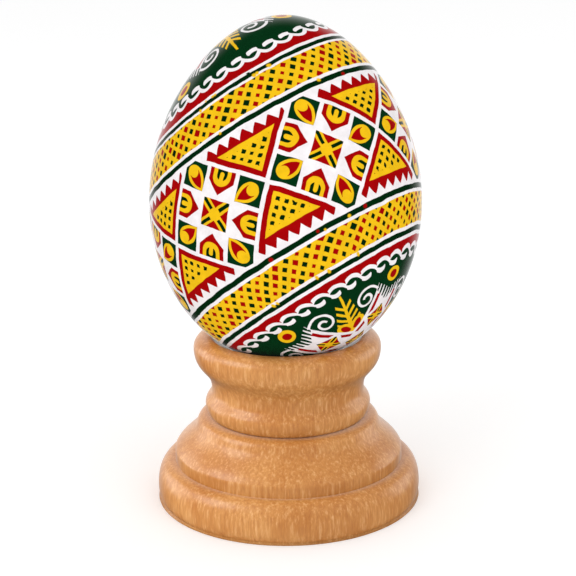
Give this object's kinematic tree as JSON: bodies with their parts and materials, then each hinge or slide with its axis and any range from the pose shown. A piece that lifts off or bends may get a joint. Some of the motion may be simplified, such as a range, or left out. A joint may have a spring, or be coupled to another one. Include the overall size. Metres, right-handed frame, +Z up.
{
  "type": "painted easter egg on turned wooden stand",
  "caption": "Lacquered hen's egg painted in red, yellow, green and white folk bands and stars, resting point up in a turned wooden egg stand.",
  "frame": {"origin": "middle of the stand's underside, on the surface that it stands on", "axes": "+Z up along the turning axis of the stand and the egg; the view in the picture looks along +Y; the painted bands tilt down towards -X"},
  "size_m": [0.0442, 0.0442, 0.08],
  "materials": {
    "egg_lacquer": "white eggshell dyed yellow, red and dark green in folk bands, stars and scrolls, under clear gloss varnish",
    "turned_wood": "light tan close-grained wood, lathe turned, satin varnish"
  },
  "bodies": {
    "root": {"egg": "egg_lacquer", "stand": "turned_wood"}
  },
  "joints": []
}
